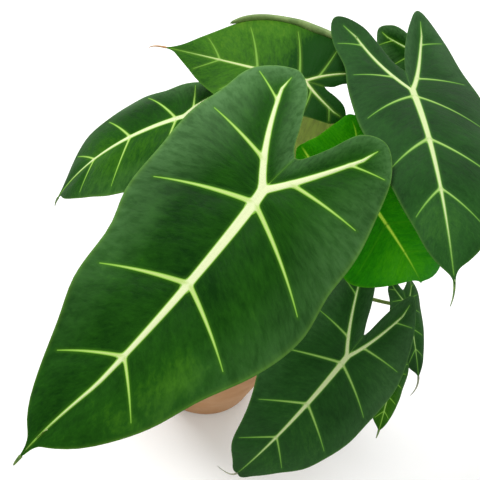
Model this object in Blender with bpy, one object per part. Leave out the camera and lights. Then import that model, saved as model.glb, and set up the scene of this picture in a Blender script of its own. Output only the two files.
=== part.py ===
"""Arrow-leaved house plant in its terracotta pot: metres, +Z up, pot base centre at the origin."""

import math

import bmesh
import bpy
import numpy as np
from mathutils import Matrix, Vector

SHARP_EDGE = 35

# Pot: turned about Z, base on the ground, filled with soil.
POT_BASE_RADIUS = 0.047
POT_NECK_RADIUS = 0.068
POT_RIM_RADIUS = 0.075
POT_NECK_HEIGHT = 0.103
POT_HEIGHT = 0.130
POT_WALL = 0.0045
POT_FLOOR = 0.007
POT_SEGMENTS = 48
DRAIN_COUNT = 3
DRAIN_RADIUS = 0.0045
DRAIN_RING = 0.026
DRAIN_SEGMENTS = 16

# Soil fills the pot with a small gap all round. Stems stand upright in plain
# holes up to FOOT_TOP, just above the mound.
GAP = 0.0003
SOIL_TOP = 0.114
SOIL_CROWN = 0.004
FOOT_TOP = 0.1225
SOIL_LUMP = 0.0012
SOIL_RINGS = 5
SOIL_SEGMENTS = 32
HOLE_DEPTH = 0.016
HOLE_SEGMENTS = 16

# Leaf stalks: thicker at the foot, ending just under the blade.
STALK_SIDES = 10
STALK_RINGS = 10
STALK_FLARE_LENGTH = 0.035
STALK_TAPER = 0.35
STALK_FOOT = 1.35
STALK_RISE = 0.45
STALK_ARRIVAL = 0.30

# Blade thickness, and how far the ribs stand out above and below.
BLADE_THICKNESS = 0.0009
RIB_ABOVE = 0.0005
RIB_BELOW = 0.0011
SIDE_RIB_SHARE = 0.6
RIB_END = 0.85
MIDRIB_TAPER = 0.75
LOBE_RIB_TAPER = 0.5

# One half of a leaf outline, front tip to sinus, as shares of the length from
# the stalk to the tip: (forward, outward). Station numbers count along it.
OUTLINE = (
    (1.000, 0.000), (0.945, 0.014), (0.885, 0.052), (0.800, 0.120),
    (0.670, 0.200), (0.530, 0.262), (0.380, 0.312), (0.240, 0.338),
    (0.100, 0.342), (-0.040, 0.325), (-0.160, 0.292), (-0.270, 0.242),
    (-0.335, 0.165), (-0.300, 0.095), (-0.225, 0.052), (-0.155, 0.020),
    (-0.125, 0.000),
)
TIP_STATION = 0
LOBE_STATION = 12
LAST_STATION = 16
LOBE_BACK = -0.335
SINUS_BACK = -0.125
# Stations at which the six outward reaches of a leaf apply.
REACH_STATIONS = (2, 3.3, 5, 7, 9.5, 12)
# The rib into each lobe is a curve from the stalk: (back, outward).
LOBE_RIB = ((0.0, 0.0), (-0.09, 0.08), (-0.25, 0.15))
LOBE_SPREAD_SHARES = (0.0, 0.3, 0.85)
OUTWARD_STATIONS = (8, 9, 10, 11, 12)
OUTWARD_SHARES = (0.0, 0.16, 0.55, 0.92, 1.0)
INWARD_STATIONS = (12, 13, 14, 15, 16)
INWARD_SHARES = (1.0, 0.90, 0.55, 0.25, 0.0)
# Side ribs lean forward: each starts this share behind its outline point.
SIDE_RIB_LEAN = 0.20
SIDE_RIB_BOW = 0.12
ARCH_REACH = 0.34
LOBE_REACH = 0.35
LEAST_INNER_WIDTH = 0.006
# The halves meet in a shallow fold, in degrees, and the margin waves once in so many stations.
MIDRIB_FOLD = 4
WAVE_STATIONS = 2.1

# Rows of the blade mesh: the ones in RIB_ROWS carry a side rib.
RIB_ROWS = (3.3, 5.05, 7.0, 9.4, 10.9)
RIB_SIDE = 0.12
LARGE_ROWS = (0.35, 1.0, 1.7, 2.5, 4.2, 6.0, 8.2, 10.15, 11.5, 12.0)
LARGE_COLUMNS = (0.0, 0.045, 0.22, 0.5, 0.78, 1.0)
MEDIUM_COLUMNS = (0.0, 0.055, 0.32, 0.67, 1.0)
SMALL_ROWS = (0.7, 1.6, 2.6, 4.2, 6.0, 8.2, 10.15, 12.0)
SMALL_COLUMNS = (0.0, 0.08, 0.35, 0.7, 1.0)
MESHES = {
    "large": (LARGE_ROWS, LARGE_COLUMNS),
    "medium": (LARGE_ROWS, MEDIUM_COLUMNS),
    "small": (SMALL_ROWS, SMALL_COLUMNS),
}

# Each leaf: where the stalk meets the blade, the length from there to the tip,
# heading, downward pitch and roll in degrees, how many degrees the front and
# the lobes droop, how many degrees each half arches, and the outward reaches.
# Pairs are (left half, right half), seen from the stalk towards the tip.
LEAVES = {
    "front": dict(
        at=(0.004, -0.098, 0.358), length=0.220, turn=(-122, 32, 1),
        droop=8, lobe_droop=18, arch=(24, 17), lobes=(1.00, 1.04),
        spread=(-0.007, 0.017), sinus=-0.127, wave=0.0022,
        reach=((1.05, 1.19, 1.04, 1.12, 0.99, 0.97), (1.10, 1.06, 0.92, 0.91, 1.16, 1.12)),
        trim=(
            (0.99, 1.15, 1.06, 1, 1.01, 1, 0.95, 0.91, 0.97, 0.98, 0.98, 1.02, 1.04, 0.82, 0.86),
            (1, 1.11, 0.98, 0.91, 1, 0.95, 1.06, 0.965, 0.935, 0.925, 1.13, 0.89, 0.89, 0.94, 0.97),
        ),
        foot=(0.006, -0.030), stalk=0.0048, size="large",
    ),
    "left": dict(
        at=(-0.067, 0.032, 0.269), length=0.136, turn=(-160, 26, 0),
        droop=46, lobe_droop=17, arch=(27, 29), lobes=(1.00, 0.96),
        spread=(0.0, -0.007), sinus=-0.123, wave=0.0015,
        reach=((1.02, 1.03, 1.09, 1.03, 1.0, 1.0), (1.0, 1.02, 1.06, 0.93, 0.88, 0.98)),
        trim=(
            (1, 1.16, 1.06, 1.01, 1.02, 1.01, 1, 1, 1, 1, 1, 1, 1, 1, 1),
            (0.89, 0.94, 1.02, 1.03, 0.91, 0.99, 1.06, 0.88, 0.96, 0.98, 1, 1, 1, 1, 1),
        ),
        foot=(-0.028, 0.004), stalk=0.0034, size="medium",
    ),
    "back_left": dict(
        at=(0.011, 0.041, 0.329), length=0.117, turn=(165, 16, -14),
        droop=2, lobe_droop=15, arch=(24, 7), lobes=(1.00, 1.00),
        spread=(0.0, 0.0), sinus=-0.125, wave=0.0015,
        reach=((0.98, 0.92, 0.97, 1.0, 1.0, 1.0), (1.05, 1.12, 1.13, 1.17, 1.07, 1.0)),
        trim=(
            (0.86, 0.9, 0.9, 0.96, 0.98, 0.95, 0.85, 0.78, 0.75, 0.75, 0.8, 0.9, 0.95, 1, 1),
            (1, 1, 1.03, 1.06, 1.16, 1.16, 1.08, 1, 1, 1, 1, 1, 0.95, 0.91, 1.15),
        ),
        foot=(-0.010, 0.030), stalk=0.0034, size="medium",
    ),
    "right": dict(
        at=(0.0806, 0.0216, 0.365), length=0.164, turn=(-74, -14, -1),
        droop=25, lobe_droop=-19, arch=(20, 32), lobes=(1.53, 1.36),
        spread=(-0.054, 0.024), sinus=-0.145, wave=0.0018,
        reach=((1.32, 1.15, 0.98, 1, 1.01, 1.01), (1.14, 0.93, 0.71, 0.79, 0.75, 1.48)),
        trim=(
            (1, 1.07, 1.03, 1, 1, 1, 1, 1, 0.97, 0.94, 1.04, 1.1, 0.93, 0.97, 1),
            (1.2, 1.16, 0.99, 1.01, 1.1, 0.99, 0.96, 1.02, 1.1, 0.92, 0.86, 1.04, 0.93, 0.97, 1),
        ),
        foot=(0.012, 0.008), stalk=0.0042, size="large",
    ),
    "young": dict(
        at=(0.065, -0.031, 0.318), length=0.103, turn=(-25, 27, 35),
        droop=52, lobe_droop=17, arch=(23, 20), lobes=(1.24, 1.31),
        spread=(0.057, 0.006), sinus=-0.42, wave=0.0010,
        reach=((1.06, 1.18, 1.0, 1.0, 1.0, 1.15), (0.94, 1.11, 1.24, 0.99, 1.0, 1.02)),
        trim=(
            (1.6, 2.1, 1.6, 1.25, 1.08, 1, 1, 1, 1, 1, 1, 1, 1, 1, 1),
            (1, 1.03, 1.13, 1.24, 1.28, 1.25, 1.15, 1.05, 1, 1, 1, 1, 1, 1, 1),
        ),
        foot=(0.030, -0.012), stalk=0.0030, size="medium",
    ),
    "low": dict(
        at=(0.098, -0.083, 0.199), length=0.138, turn=(-117, 35, -20),
        droop=47, lobe_droop=6, arch=(35, 35), lobes=(1.41, 1.34),
        spread=(-0.049, 0.024), sinus=-0.145, wave=0.0015,
        reach=((1.07, 1.14, 1.08, 1.02, 1.05, 0.86), (1.04, 0.97, 0.92, 1.11, 0.93, 1.23)),
        trim=(
            (1.6, 1.25, 1.06, 1.07, 1.03, 1.03, 1.01, 1, 1, 1, 1, 1, 0.95, 0.91, 0.86),
            (1.5, 1.3, 1.2, 1.01, 0.99, 0.99, 1.05, 1.02, 1, 1, 1, 1, 1.08, 1.16, 1.16),
        ),
        foot=(0.030, -0.034), stalk=0.0034, size="medium",
    ),
    "low_right": dict(
        at=(0.139, -0.004, 0.180), length=0.061, turn=(-53, 33, -9),
        droop=14, lobe_droop=10, arch=(37, 24), lobes=(0.91, 1.00),
        spread=(0.018, -0.016), sinus=-0.190, wave=0.0008,
        reach=((1.0, 1.0, 0.89, 0.99, 0.98, 1.05), (1.01, 1.02, 1.0, 1.0, 1.0, 0.96)),
        trim=(
            (1, 1, 0.93, 0.81, 0.76, 0.75, 0.76, 0.77, 0.8, 0.85, 0.9, 1, 1, 1, 1),
            (1, 1.04, 1.08, 1.04, 1, 1, 0.97, 0.9, 0.8, 0.76, 0.84, 0.95, 1, 1, 1),
        ),
        foot=(0.048, 0.008), stalk=0.0022, size="small",
    ),
    "small": dict(
        at=(0.1418, -0.0568, 0.1552), length=0.047, turn=(-83, 38, 3),
        droop=26, lobe_droop=15, arch=(29, 25), lobes=(1.00, 1.00),
        spread=(0.0, 0.0), sinus=-0.125, wave=0.0006,
        reach=((1.01, 0.98, 0.97, 0.92, 1.0, 1.0), (1.0, 1.0, 1.0, 1.0, 1.0, 1.0)),
        trim=(
            (1, 1, 0.87, 0.77, 0.71, 0.71, 0.72, 0.74, 0.78, 0.85, 0.95, 1, 1, 1, 1),
            (1, 1, 1, 1, 1, 1, 1, 1, 1, 1, 1, 1, 1, 1, 1),
        ),
        foot=(0.050, -0.016), stalk=0.0020, size="small",
    ),
    "back_right": dict(
        at=(0.0930, 0.1050, 0.330), length=0.084, turn=(-30, 30, 28),
        droop=40, lobe_droop=14, arch=(65, 20), lobes=(0.80, 1.35),
        spread=(0.0, 0.03), sinus=-0.100, wave=0.0006,
        reach=((1.0, 1.0, 0.9, 0.8, 0.8, 0.8), (1.0, 1.0, 1.0, 1.05, 1.2, 1.2)),
        trim=(
            (1, 1, 1, 1, 1, 1, 0.95, 0.9, 0.85, 0.85, 0.85, 0.9, 1, 1, 1),
            (1, 1, 1, 1, 1, 1, 1, 1, 1, 1, 1, 1, 1.25, 1.6, 1.6),
        ),
        foot=(0.014, 0.032), stalk=0.0026, size="small",
    ),
    "far_right": dict(
        at=(0.159, -0.023, 0.338), length=0.067, turn=(-31, 27, 1),
        droop=30, lobe_droop=16, arch=(25, 26), lobes=(1.00, 0.92),
        spread=(0.0, 0.008), sinus=-0.120, wave=0.0008,
        reach=((1.0, 1.0, 1.0, 1.0, 1.0, 1.0), (1.0, 1.0, 1.0, 0.99, 1.02, 1.01)),
        foot=(0.036, 0.010), stalk=0.0024, size="small",
    ),
}

# The pale sheath of the newest growth stands between the stalks.
SHEATH_PATH = (
    (-0.004, 0.012, FOOT_TOP), (-0.004, 0.012, 0.200), (0.022, 0.030, 0.270), (0.036, 0.040, 0.322),
)
SHEATH_WIDTHS = (0.0060, 0.0062, 0.0085, 0.0095, 0.0040)
SHEATH_FLATNESS = 0.45
SHEATH_ROUND_SHARE = 0.625
SHEATH_SIDES = 14
SHEATH_RINGS = 12

COLOURS = {
    "terracotta": ((0.36, 0.21, 0.11), 0.85),
    "soil": ((0.035, 0.024, 0.016), 0.95),
    "leaf_green": ((0.012, 0.060, 0.010), 0.55),
    "young_green": ((0.035, 0.210, 0.006), 0.50),
    "stalk_green": ((0.180, 0.300, 0.050), 0.55),
    "sheath_olive": ((0.300, 0.380, 0.070), 0.65),
}


def clear_scene():
    for obj in list(bpy.data.objects):
        bpy.data.objects.remove(obj, do_unlink=True)


def material(name):
    colour, roughness = COLOURS[name]
    found = bpy.data.materials.get(name)
    if found:
        return found
    made = bpy.data.materials.new(name)
    made.use_nodes = True
    shader = made.node_tree.nodes["Principled BSDF"]
    shader.inputs["Base Color"].default_value = (*colour, 1.0)
    shader.inputs["Roughness"].default_value = roughness
    shader.inputs["Metallic"].default_value = 0.0
    return made


def object_from(bm, name, material_name):
    """Links the mesh, shaded smooth except at edges sharper than SHARP_EDGE degrees."""
    for face in bm.faces:
        face.smooth = True
    mesh = bpy.data.meshes.new(name)
    bm.to_mesh(mesh)
    bm.free()
    mesh.set_sharp_from_angle(angle=math.radians(SHARP_EDGE))
    mesh.materials.append(material(material_name))
    obj = bpy.data.objects.new(name, mesh)
    bpy.context.scene.collection.objects.link(obj)
    return obj


def cut(obj, cutters):
    for cutter in cutters:
        modifier = obj.modifiers.new("Cut", "BOOLEAN")
        modifier.operation = "DIFFERENCE"
        modifier.solver = "EXACT"
        modifier.object = cutter
        cutter.hide_render = True
        cutter.display_type = "WIRE"


def turned(profile, segments):
    """A closed ring of (radius, height) points turned about Z; radius 0 points close on the axis."""
    bm = bmesh.new()
    points = [bm.verts.new((radius, 0.0, height)) for radius, height in profile]
    edges = [bm.edges.new(pair) for pair in zip(points, points[1:])]
    bmesh.ops.spin(
        bm, geom=points + edges, cent=(0, 0, 0), axis=(0, 0, 1),
        angle=math.tau, steps=segments, use_merge=True, use_duplicate=False,
    )
    bmesh.ops.remove_doubles(bm, verts=bm.verts, dist=0.00001)
    bmesh.ops.recalc_face_normals(bm, faces=bm.faces)
    return bm


def rod(name, centre, radius, low, high, segments):
    bm = bmesh.new()
    bmesh.ops.create_cone(
        bm, cap_ends=True, segments=segments, radius1=radius, radius2=radius,
        depth=high - low, matrix=Matrix.Translation((*centre, (low + high) / 2)),
    )
    return object_from(bm, name, "soil")


def inner_radius(height):
    """Inside radius of the pot wall at a height."""
    outside = np.interp(height, (0.0, POT_NECK_HEIGHT), (POT_BASE_RADIUS, POT_NECK_RADIUS))
    return float(outside) - POT_WALL


def build_pot():
    step = 0.003
    soft = 0.0015
    rim_low = POT_NECK_HEIGHT + step
    rim_radius = POT_RIM_RADIUS - soft
    inner_rim = rim_radius - POT_WALL
    profile = (
        (0.0, 0.0), (POT_BASE_RADIUS - soft, 0.0), (POT_BASE_RADIUS, soft),
        (POT_NECK_RADIUS, POT_NECK_HEIGHT), (rim_radius, rim_low),
        (POT_RIM_RADIUS, POT_HEIGHT - soft), (POT_RIM_RADIUS - soft, POT_HEIGHT),
        (inner_rim + soft, POT_HEIGHT), (inner_rim, POT_HEIGHT - soft),
        (inner_radius(POT_NECK_HEIGHT) + 0.001, rim_low),
        (inner_radius(POT_NECK_HEIGHT), POT_NECK_HEIGHT),
        (inner_radius(POT_FLOOR), POT_FLOOR), (0.0, POT_FLOOR),
    )
    pot = object_from(turned(profile, POT_SEGMENTS), "pot", "terracotta")
    cutters = []
    for i in range(DRAIN_COUNT):
        angle = math.tau * (i + 0.5) / DRAIN_COUNT
        centre = (DRAIN_RING * math.cos(angle), DRAIN_RING * math.sin(angle))
        low, high = -0.01, POT_FLOOR + 0.005
        cutters.append(rod(f"drain_cutter_{i}", centre, DRAIN_RADIUS, low, high, DRAIN_SEGMENTS))
    cut(pot, cutters)


def soil_height(x, y):
    """Top of the soil: a low mound with a few soft lumps."""
    mound = SOIL_CROWN * (1 - (x * x + y * y) / POT_NECK_RADIUS**2)
    lumps = math.sin(95 * x + 1.3) * math.cos(120 * y) + 0.6 * math.sin(210 * x - 170 * y)
    return SOIL_TOP + mound + SOIL_LUMP * lumps


def build_soil():
    low = POT_FLOOR + GAP
    wall = inner_radius(POT_NECK_HEIGHT) - GAP
    rings = [wall * (i + 1) / SOIL_RINGS for i in range(SOIL_RINGS)]
    profile = [(0.0, low), (inner_radius(low) - GAP, low), (wall, POT_NECK_HEIGHT)]
    profile += [(radius, SOIL_TOP) for radius in reversed(rings)]
    profile.append((0.0, SOIL_TOP))
    bm = turned(profile, SOIL_SEGMENTS)
    for vert in bm.verts:
        if vert.co.z > POT_NECK_HEIGHT + 0.001:
            vert.co.z = soil_height(vert.co.x, vert.co.y)
    soil = object_from(bm, "soil", "soil")
    cutters = []
    for name, leaf in LEAVES.items():
        radius = foot_radius(leaf) + GAP
        low = SOIL_TOP - HOLE_DEPTH
        cutters.append(rod(f"hole_{name}", leaf["foot"], radius, low, POT_HEIGHT, HOLE_SEGMENTS))
    radius = SHEATH_WIDTHS[0] + GAP
    centre = SHEATH_PATH[0][:2]
    low = SOIL_TOP - HOLE_DEPTH
    cutters.append(rod("hole_sheath", centre, radius, low, POT_HEIGHT, HOLE_SEGMENTS))
    cut(soil, cutters)


def smooth_curve(points, station):
    """Position at a station of the curve that passes through the points."""
    last = len(points) - 1
    station = min(max(station, 0.0), float(last))
    i = min(int(station), last - 1)
    t = station - i
    b, c = points[i], points[i + 1]
    a = points[i - 1] if i else 2 * b - c
    d = points[i + 2] if i + 2 <= last else 2 * c - b
    square = (2 * a - 5 * b + 4 * c - d) * t**2
    cube = (-a + 3 * b - 3 * c + d) * t**3
    return 0.5 * (2 * b + (c - a) * t + square + cube)


def half_outline(leaf, half):
    """Outline stations of one half of a leaf, flat and in metres, outward positive."""
    points = np.array(OUTLINE)
    stations = np.arange(len(points))
    points[:, 1] *= np.interp(stations, REACH_STATIONS, leaf["reach"][half])
    grow = leaf["lobes"][half]
    behind = points[:, 0] < 0
    points[behind, 0] *= np.interp(stations[behind], (9, LOBE_STATION), (1 + 0.4 * (grow - 1), grow))
    lobe_tip = points[LOBE_STATION, 0]
    for i in range(LOBE_STATION, LAST_STATION + 1):
        share = (OUTLINE[i][0] - SINUS_BACK) / (LOBE_BACK - SINUS_BACK)
        points[i, 0] = leaf["sinus"] + share * (lobe_tip - leaf["sinus"])
    spread = np.interp(stations, (9, LOBE_STATION, 15, LAST_STATION), (0, 1, 0.35, 0))
    points[:, 1] += leaf["spread"][half] * spread
    inner = slice(LOBE_STATION + 1, LAST_STATION)
    points[inner, 1] = np.maximum(points[inner, 1], LEAST_INNER_WIDTH)
    return points * leaf["length"]


def lobe_rib_point(leaf, half, share):
    """Point on the rib that runs from the stalk into a lobe."""
    reach = leaf["reach"][half]
    points = np.array(LOBE_RIB)
    points[:, 0] *= leaf["lobes"][half]
    points[:, 1] *= (reach[4] + reach[5]) / 2
    points[:, 1] += leaf["spread"][half] * np.array(LOBE_SPREAD_SHARES)
    keep, move = 1 - share, share
    curve = keep**2 * points[0] + 2 * keep * move * points[1] + move**2 * points[2]
    return curve * leaf["length"]


def midrib_point(leaf, station):
    """Where the side rib of a station leaves the midrib."""
    forward = []
    for share, _ in OUTLINE:
        ahead = max(share, 0.0)
        forward.append(max(share - SIDE_RIB_LEAN * (1 - ahead**8), 0.0))
    x = np.interp(station, range(len(OUTLINE)), forward)
    return np.array((x * leaf["length"], 0.0))


def trim_at(leaf, half, station):
    """How far the margin stands from the ribs at a station, against the plain outline."""
    if "trim" not in leaf:
        return 1.0
    return float(smooth_curve(np.array((1.0, *leaf["trim"][half], 1.0)), station))


def flat_point(leaf, half, outline, row, v):
    """Flat position of a mesh point: v runs from the ribs (0) to the outline (1)."""
    station, share = row
    start = midrib_point(leaf, station) if share is None else lobe_rib_point(leaf, half, share)
    span = (smooth_curve(outline, station) - start) * trim_at(leaf, half, station)
    bow = np.interp(station, (0, 2, 8, 12), (0, SIDE_RIB_BOW, SIDE_RIB_BOW, 0)) * v * (1 - v)
    return start + span * v + bow * np.array((-span[1], span[0]))


def bent_point(leaf, half, flat, station, v):
    """Bends a flat point: each half arches down, the front and the lobes droop."""
    x, y = flat
    bend = math.radians(leaf["arch"][half]) / (ARCH_REACH * leaf["length"])
    fold = math.radians(MIDRIB_FOLD)
    across = (math.sin(fold) - math.sin(fold - bend * y)) / bend
    rise = (math.cos(fold - bend * y) - math.cos(fold)) / bend
    taper = np.interp(station, (0, 2, 4, 12, 15, 16), (0, 0.3, 1, 1, 0.3, 0))
    rise += leaf["wave"] * taper * v * v * math.sin(math.pi * station / WAVE_STATIONS + half)
    front = x >= 0
    total = leaf["droop"] if front else leaf["lobe_droop"]
    reach = leaf["length"] * (1 if front else LOBE_REACH)
    curl = math.radians(total) / reach
    angle = curl * abs(x)
    along = math.sin(angle) / curl + rise * math.sin(angle)
    drop = (1 - math.cos(angle)) / curl
    sign = 1 if front else -1
    return sign * along, (1, -1)[half] * across, rise * math.cos(angle) - drop


def leaf_frame(leaf):
    """Turns and moves the leaf from its own axes to where it stands."""
    heading, pitch, roll = (math.radians(angle) for angle in leaf["turn"])
    level = Vector((math.cos(heading), math.sin(heading), 0.0))
    ahead = level * math.cos(pitch) - Vector((0, 0, math.sin(pitch)))
    left = Vector((-level.y, level.x, 0.0))
    up = ahead.cross(left)
    side = left * math.cos(roll) + up * math.sin(roll)
    normal = up * math.cos(roll) - left * math.sin(roll)
    turn = Matrix((ahead, side, normal)).transposed()
    return Matrix.Translation(leaf["at"]) @ turn.to_4x4()


def mesh_rows(leaf):
    """Rows of one half as (station, share of the lobe rib), tip to sinus."""
    rows = set(MESHES[leaf["size"]][0])
    for station in RIB_ROWS:
        rows.add(station)
        if leaf["size"] != "small":
            rows.update((station - RIB_SIDE, station + RIB_SIDE))
    made = [(float(TIP_STATION), None)]
    outward = []
    for station in sorted(rows):
        share = float(np.interp(station, OUTWARD_STATIONS, OUTWARD_SHARES))
        if share > 0:
            outward.append((station, share))
        else:
            made.append((station, None))
    inward = []
    for _, share in reversed(outward[:-1]):
        station = float(np.interp(share, INWARD_SHARES[::-1], INWARD_STATIONS[::-1]))
        inward.append((station, share))
    return made + outward + inward + [(float(LAST_STATION), 0.0)]


def rib_height(leaf, row, v):
    """0 to 1: how much of the full rib height stands at a mesh point."""
    station, share = row
    if share is None:
        ahead = midrib_point(leaf, station)[0] / leaf["length"]
        root = 1 - MIDRIB_TAPER * ahead
    else:
        root = 1 - LOBE_RIB_TAPER * share
    if station >= LAST_STATION:
        root = 1.0
    if v == 0:
        return root
    if station in RIB_ROWS and v < RIB_END:
        return SIDE_RIB_SHARE * root * (1 - v / RIB_END)
    return 0.0


def middle_sheet(leaf):
    """The leaf as one sheet of triangles, with the rib height kept on each point."""
    bm = bmesh.new()
    height = bm.verts.layers.float.new("rib")
    columns = MESHES[leaf["size"]][1]
    rows = mesh_rows(leaf)
    for half in (0, 1):
        outline = half_outline(leaf, half)
        grid = []
        for row in rows:
            line = []
            for v in columns:
                flat = flat_point(leaf, half, outline, row, v)
                vert = bm.verts.new(bent_point(leaf, half, flat, row[0], v))
                vert[height] = rib_height(leaf, row, v)
                line.append(vert)
            grid.append(line)
        for near, far in zip(grid, grid[1:]):
            for i in range(len(columns) - 1):
                bm.faces.new((near[i], near[i + 1], far[i + 1]))
                bm.faces.new((near[i], far[i + 1], far[i]))
    bmesh.ops.remove_doubles(bm, verts=bm.verts, dist=0.00002)
    bmesh.ops.recalc_face_normals(bm, faces=bm.faces)
    bm.normal_update()
    if sum(face.normal.z * face.calc_area() for face in bm.faces) < 0:
        bmesh.ops.reverse_faces(bm, faces=bm.faces)
        bm.normal_update()
    return bm, height


def thick_leaf(leaf):
    """Two faces, alike triangle for triangle, joined round the edge."""
    sheet, height = middle_sheet(leaf)
    bm = bmesh.new()
    above, below = {}, {}
    for vert in sheet.verts:
        rib = vert[height]
        up = BLADE_THICKNESS / 2 + RIB_ABOVE * rib
        down = BLADE_THICKNESS / 2 + RIB_BELOW * rib
        above[vert] = bm.verts.new(vert.co + vert.normal * up)
        below[vert] = bm.verts.new(vert.co - vert.normal * down)
    for face in sheet.faces:
        bm.faces.new([above[vert] for vert in face.verts])
        bm.faces.new([below[vert] for vert in reversed(face.verts)])
    for edge in sheet.edges:
        if len(edge.link_loops) == 1:
            loop = edge.link_loops[0]
            first, second = loop.vert, loop.link_loop_next.vert
            bm.faces.new((above[second], above[first], below[first]))
            bm.faces.new((above[second], below[first], below[second]))
    sheet.free()
    bmesh.ops.transform(bm, matrix=leaf_frame(leaf), verts=bm.verts)
    bmesh.ops.recalc_face_normals(bm, faces=bm.faces)
    return bm


def foot_radius(leaf):
    return leaf["stalk"] * STALK_FOOT


def bezier(points, t):
    keep = 1 - t
    weights = (keep**3, 3 * keep**2 * t, 3 * keep * t**2, t**3)
    return sum((Vector(point) * weight for point, weight in zip(points, weights)), Vector())


def bezier_direction(points, t):
    keep = 1 - t
    weights = (keep**2, 2 * keep * t, t**2)
    legs = [Vector(b) - Vector(a) for a, b in zip(points, points[1:])]
    return sum((leg * weight for leg, weight in zip(legs, weights)), Vector()).normalized()


def stalk_path(leaf):
    """Rises from its hole and meets the blade square to its underside."""
    frame = leaf_frame(leaf)
    normal = (frame.to_3x3() @ Vector((0, 0, 1))).normalized()
    clear = BLADE_THICKNESS / 2 + RIB_BELOW + GAP
    end = Vector(leaf["at"]) - normal * clear
    start = Vector((*leaf["foot"], FOOT_TOP))
    span = (end - start).length
    first = start + Vector((0, 0, span * STALK_RISE))
    second = end - normal * span * STALK_ARRIVAL
    return start, first, second, end


def tube(path, rings, sides, size):
    """A closed tube with an upright foot: size(t) gives (half width, half depth)."""
    bm = bmesh.new()
    made = []
    guide = Vector((0.0, 1.0, 0.0))
    foot_drop = Vector((0, 0, FOOT_TOP - SOIL_TOP + HOLE_DEPTH - GAP))
    for i in range(-1, rings):
        t = max(i, 0) / (rings - 1)
        centre, ahead = bezier(path, t), bezier_direction(path, t)
        if i < 0:
            centre = centre - foot_drop
        across = ahead.cross(guide).normalized()
        guide = across.cross(ahead).normalized()
        width, depth = size(t)
        ring = []
        for k in range(sides):
            angle = math.tau * k / sides
            offset = across * (width * math.cos(angle)) + guide * (depth * math.sin(angle))
            ring.append(bm.verts.new(centre + offset))
        made.append(ring)
    for near, far in zip(made, made[1:]):
        for k in range(sides):
            n = (k + 1) % sides
            bm.faces.new((near[k], near[n], far[n], far[k]))
    bm.faces.new(list(reversed(made[0])))
    bm.faces.new(made[-1])
    bmesh.ops.recalc_face_normals(bm, faces=bm.faces)
    return bm


def build_stalk(name, leaf):
    path = stalk_path(leaf)
    length = (Vector(path[3]) - Vector(path[0])).length
    foot = foot_radius(leaf)

    def size(t):
        flare = max(0.0, 1 - t * length / STALK_FLARE_LENGTH)
        middle = leaf["stalk"] * (1 - STALK_TAPER * t)
        radius = middle + (foot - leaf["stalk"]) * flare**0.5
        return radius, radius

    object_from(tube(path, STALK_RINGS, STALK_SIDES, size), f"stalk_{name}", "stalk_green")


def build_sheath():
    def size(t):
        width = float(np.interp(t, np.linspace(0, 1, len(SHEATH_WIDTHS)), SHEATH_WIDTHS))
        flat = 1 - (1 - SHEATH_FLATNESS) * min(1.0, t / SHEATH_ROUND_SHARE)
        return width, width * flat

    object_from(tube(SHEATH_PATH, SHEATH_RINGS, SHEATH_SIDES, size), "sheath", "sheath_olive")


def build_leaves():
    for name, leaf in LEAVES.items():
        colour = "young_green" if name == "young" else "leaf_green"
        object_from(thick_leaf(leaf), f"blade_{name}", colour)
        build_stalk(name, leaf)


clear_scene()
build_pot()
build_soil()
build_leaves()
build_sheath()
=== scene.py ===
import math
import bmesh
import bpy
import numpy as np
from mathutils import Matrix, Vector, noise


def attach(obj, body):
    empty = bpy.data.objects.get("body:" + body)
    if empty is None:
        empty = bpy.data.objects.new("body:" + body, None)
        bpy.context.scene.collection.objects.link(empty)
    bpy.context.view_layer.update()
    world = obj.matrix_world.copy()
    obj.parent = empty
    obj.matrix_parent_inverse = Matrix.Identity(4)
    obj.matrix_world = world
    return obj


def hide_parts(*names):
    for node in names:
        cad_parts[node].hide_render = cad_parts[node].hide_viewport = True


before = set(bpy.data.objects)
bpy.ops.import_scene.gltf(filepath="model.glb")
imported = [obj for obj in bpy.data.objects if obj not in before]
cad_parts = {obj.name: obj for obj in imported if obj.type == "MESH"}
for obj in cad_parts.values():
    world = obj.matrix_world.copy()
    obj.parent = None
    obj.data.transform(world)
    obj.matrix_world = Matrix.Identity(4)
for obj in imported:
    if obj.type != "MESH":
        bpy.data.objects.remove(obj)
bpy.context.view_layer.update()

# Where the plant is seen from: high in front, camera rolled a little.
cameraLook = {
    "lens": 82.5, "sensor": 36.0, "elevation": 50.0, "roll": 17.0, "potDistance": 1.0,
    "potAside": -0.0355, "potBelow": 0.1173,
}

studio = {
    "floorColour": (0.98, 0.98, 0.975), "floorSize": 6.0, "floorDrop": -0.0005,
    "lampAim": (0.02, -0.03, 0.26), "worldColour": (1.0, 1.0, 1.0), "worldStrength": 0.68,
    "keyPlace": (-1.1, 0.5, 1.9), "keySize": 0.9, "keyPower": 34.0,
    "fillPlace": (1.3, -0.9, 1.2), "fillSize": 1.4, "fillPower": 8.0,
    "backPlace": (0.2, 1.3, 1.1), "backSize": 1.0, "backPower": 6.0,
}

# Outline of one leaf half as shares of the front length. Its points are the stations:
# 0 is the tip, 8 is beside the stalk, 12 the end of the lobe, 16 the sinus.
outlineShape = (
    (1.0, 0.0), (0.945, 0.014), (0.885, 0.052), (0.8, 0.12),
    (0.67, 0.2), (0.53, 0.262), (0.38, 0.312), (0.24, 0.338),
    (0.1, 0.342), (-0.04, 0.325), (-0.16, 0.292), (-0.27, 0.242),
    (-0.335, 0.165), (-0.3, 0.095), (-0.225, 0.052), (-0.155, 0.02),
    (-0.125, 0.0),
)
stalkRow, lobeRow, sinusRow = 8.0, 12.0, 16.0
outlineShaping = {
    "growFrom": 9, "growStart": 0.4, "sinusAt": -0.125, "lobeAt": -0.335,
    "spreadRows": (9, 12, 15, 16), "spreadShares": (0, 1, 0.35, 0), "sinusGap": 0.006,
    "trims": 15,
}
lobeRib = ((0.0, 0.0), (-0.09, 0.08), (-0.25, 0.15))
lobeSpread = (0.0, 0.3, 0.85)
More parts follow.
